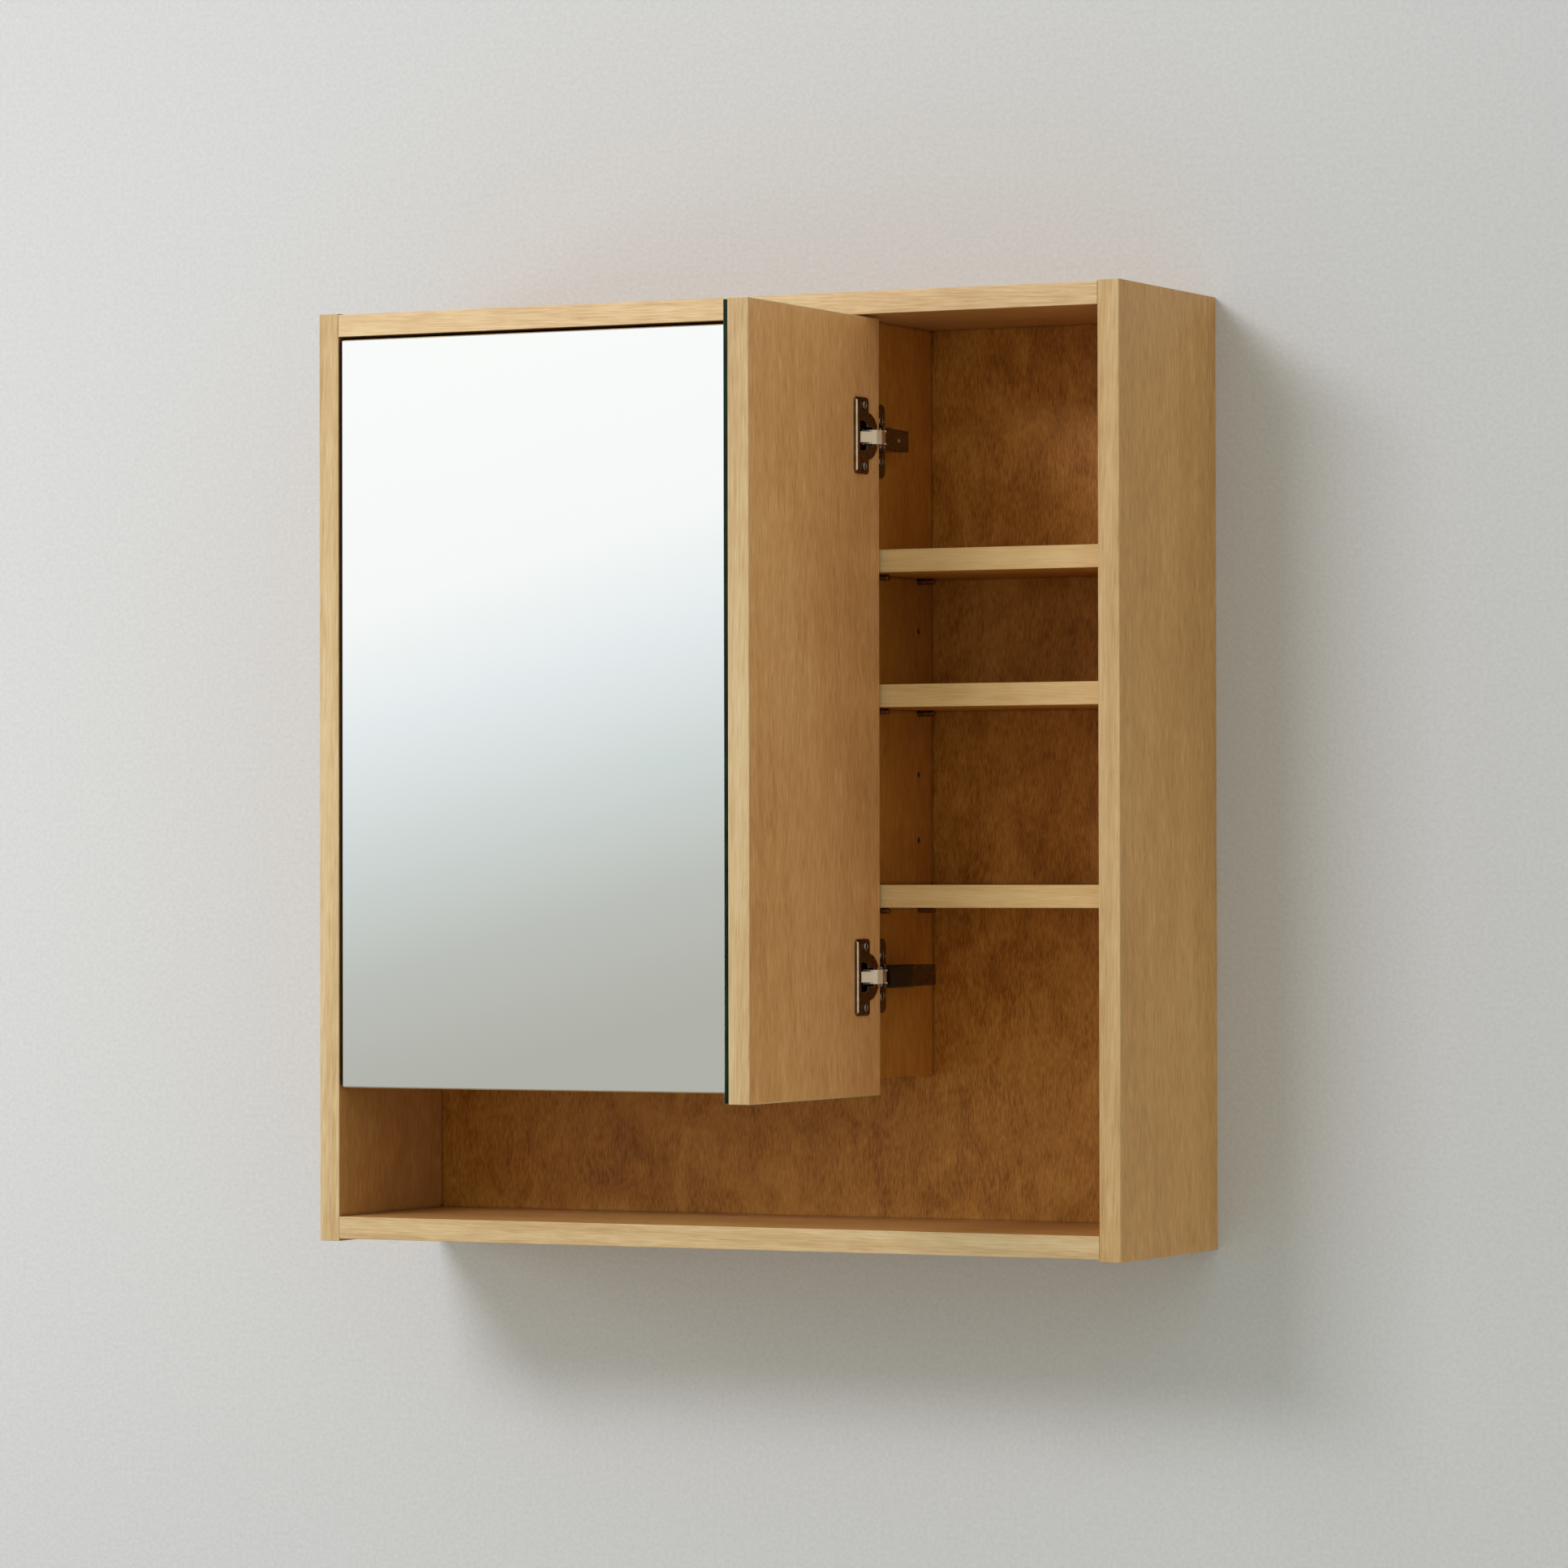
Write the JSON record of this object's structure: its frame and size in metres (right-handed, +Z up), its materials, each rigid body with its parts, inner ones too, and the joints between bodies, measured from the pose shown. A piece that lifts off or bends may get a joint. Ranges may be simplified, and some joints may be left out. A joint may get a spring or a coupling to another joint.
{
  "type": "mirrored bathroom wall cabinet",
  "caption": "Wooden bathroom wall cabinet with mirrored doors of unequal width, adjustable shelves behind them, an open niche below and concealed cup hinges.",
  "frame": {"origin": "middle of the wall rail's row of screw holes, on the wall", "axes": "+X to the cabinet's right as seen from the room, +Y into the wall, +Z up"},
  "size_m": [0.716, 0.3995, 0.76],
  "materials": {
    "wood_veneer": "clear satin lacquer on birch veneer",
    "wood_lipping": "clear satin lacquer on solid wood",
    "plain_wood": "unfinished",
    "mirror_glass": "silvered float glass with a ground edge",
    "black_nickel": "black nickel plate",
    "bright_nickel": "satin nickel plate",
    "damper_plastic": "moulded black",
    "bumper_rubber": "translucent silicone",
    "pin_steel": "bronzed"
  },
  "bodies": {
    "cabinet": {"back_panel": "wood_veneer", "bottom_panel": "wood_veneer", "carcass_dowels": "plain_wood", "carcass_edge_bands": "wood_lipping", "divider_panel": "wood_veneer", "door_bumpers": "bumper_rubber", "hanging_rail": "plain_wood", "hinge_arm_pins": "bright_nickel", "hinge_plate_screws": "bright_nickel", "left_lower_hinge_arm": "black_nickel", "left_lower_mounting_plate": "black_nickel", "left_lower_shelf": "wood_veneer", "left_middle_shelf": "wood_veneer", "left_side_panel": "wood_veneer", "left_soft_close_damper": "damper_plastic", "left_upper_hinge_arm": "black_nickel", "left_upper_mounting_plate": "black_nickel", "left_upper_shelf": "wood_veneer", "right_lower_hinge_arm": "black_nickel", "right_lower_mounting_plate": "black_nickel", "right_lower_shelf": "wood_veneer", "right_middle_shelf": "wood_veneer", "right_side_panel": "wood_veneer", "right_soft_close_damper": "damper_plastic", "right_upper_hinge_arm": "black_nickel", "right_upper_mounting_plate": "black_nickel", "right_upper_shelf": "wood_veneer", "shelf_edge_bands": "wood_lipping", "shelf_pins": "pin_steel", "top_panel": "wood_veneer", "wall_rail": "plain_wood"},
    "right_inner_links": {"right_lower_inner_link": "black_nickel", "right_upper_inner_link": "black_nickel"},
    "right_door": {"right_cup_pins": "bright_nickel", "right_cup_screws": "bright_nickel", "right_door_edge_bands": "wood_lipping", "right_door_panel": "wood_veneer", "right_lower_hinge_cup": "black_nickel", "right_mirror": "mirror_glass", "right_upper_hinge_cup": "black_nickel"},
    "right_outer_links": {"right_lower_outer_link": "bright_nickel", "right_upper_outer_link": "bright_nickel"},
    "left_inner_links": {"left_lower_inner_link": "black_nickel", "left_upper_inner_link": "black_nickel"},
    "left_door": {"left_cup_pins": "bright_nickel", "left_cup_screws": "bright_nickel", "left_door_edge_bands": "wood_lipping", "left_door_panel": "wood_veneer", "left_lower_hinge_cup": "black_nickel", "left_mirror": "mirror_glass", "left_upper_hinge_cup": "black_nickel"},
    "left_outer_links": {"left_lower_outer_link": "bright_nickel", "left_upper_outer_link": "bright_nickel"}
  },
  "joints": [
    {"name": "right_inner_link_swing", "type": "hinge", "parent": "cabinet", "child": "right_inner_links", "pos_m": [0.13693, -0.1532, 0], "axis": [0, 0, 1], "range_deg": [-38.17, 1.29]},
    {"name": "right_door_swing", "type": "hinge", "parent": "right_inner_links", "child": "right_door", "pos_m": [0.137, -0.1815, 0], "axis": [0, 0, 1], "range_deg": [-4.27, 128.15]},
    {"name": "right_outer_link_swing", "type": "hinge", "parent": "cabinet", "child": "right_outer_links", "pos_m": [0.14097, -0.16717, 0], "axis": [0, 0, 1], "range_deg": [-43.74, 1.48]},
    {"name": "left_inner_link_swing", "type": "hinge", "parent": "cabinet", "child": "left_inner_links", "pos_m": [-0.31007, -0.1532, 0], "axis": [0, 0, 1], "range_deg": [0, 39.44]},
    {"name": "left_door_swing", "type": "hinge", "parent": "left_inner_links", "child": "left_door", "pos_m": [-0.3275, -0.1755, 0], "axis": [0, 0, 1], "range_deg": [-132.42, 0]},
    {"name": "left_outer_link_swing", "type": "hinge", "parent": "cabinet", "child": "left_outer_links", "pos_m": [-0.30603, -0.16717, 0], "axis": [0, 0, 1], "range_deg": [0, 45.2]}
  ],
  "couplings": [
    {"joint": "right_inner_link_swing", "follows": "right_door_swing", "ratio": -0.2977},
    {"joint": "right_outer_link_swing", "follows": "right_door_swing", "ratio": -0.34119},
    {"joint": "left_inner_link_swing", "follows": "left_door_swing", "ratio": -0.2977},
    {"joint": "left_outer_link_swing", "follows": "left_door_swing", "ratio": -0.34119}
  ]
}
